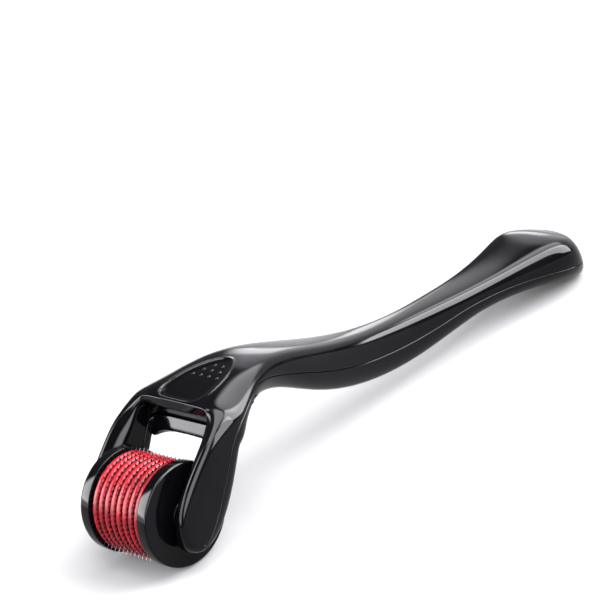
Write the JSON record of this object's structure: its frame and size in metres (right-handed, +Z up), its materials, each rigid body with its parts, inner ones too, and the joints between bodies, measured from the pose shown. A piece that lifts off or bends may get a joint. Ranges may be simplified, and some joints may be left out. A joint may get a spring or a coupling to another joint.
{
  "type": "derma roller",
  "caption": "Hand-held micro-needle skin roller: a drum of steel needle discs and red spacer rings turns between the arms of a fork on a slim curved gloss black handle.",
  "frame": {"origin": "middle of the footprint of the roller lying on its drum and its tail", "axes": "+X from the drum to the tail of the handle, +Y along the axle, +Z up"},
  "size_m": [0.1428, 0.031, 0.0303],
  "materials": {
    "black_gloss_plastic": "polished moulded black plastic",
    "red_translucent_plastic": "polished red plastic, slightly see-through",
    "needle_steel": "thin cut stainless steel",
    "axle_steel": "ground steel pin"
  },
  "bodies": {
    "handle": {"handle_upper_shell": "black_gloss_plastic", "handle_lower_shell": "black_gloss_plastic"},
    "drum": {"axle_pin": "axle_steel", "drum_core": "red_translucent_plastic", "end_cap_left": "black_gloss_plastic", "end_cap_right": "black_gloss_plastic", "needle_disc_01": "needle_steel", "needle_disc_02": "needle_steel", "needle_disc_03": "needle_steel", "needle_disc_04": "needle_steel", "needle_disc_05": "needle_steel", "needle_disc_06": "needle_steel", "needle_disc_07": "needle_steel", "needle_disc_08": "needle_steel", "needle_disc_09": "needle_steel", "spacer_ring_01": "red_translucent_plastic", "spacer_ring_02": "red_translucent_plastic", "spacer_ring_03": "red_translucent_plastic", "spacer_ring_04": "red_translucent_plastic", "spacer_ring_05": "red_translucent_plastic", "spacer_ring_06": "red_translucent_plastic", "spacer_ring_07": "red_translucent_plastic", "spacer_ring_08": "red_translucent_plastic"}
  },
  "joints": [
    {"name": "drum_spin", "type": "hinge", "parent": "handle", "child": "drum", "pos_m": [-0.06005, 0, 0.01135], "axis": [0, 1, 0], "continuous": true}
  ]
}
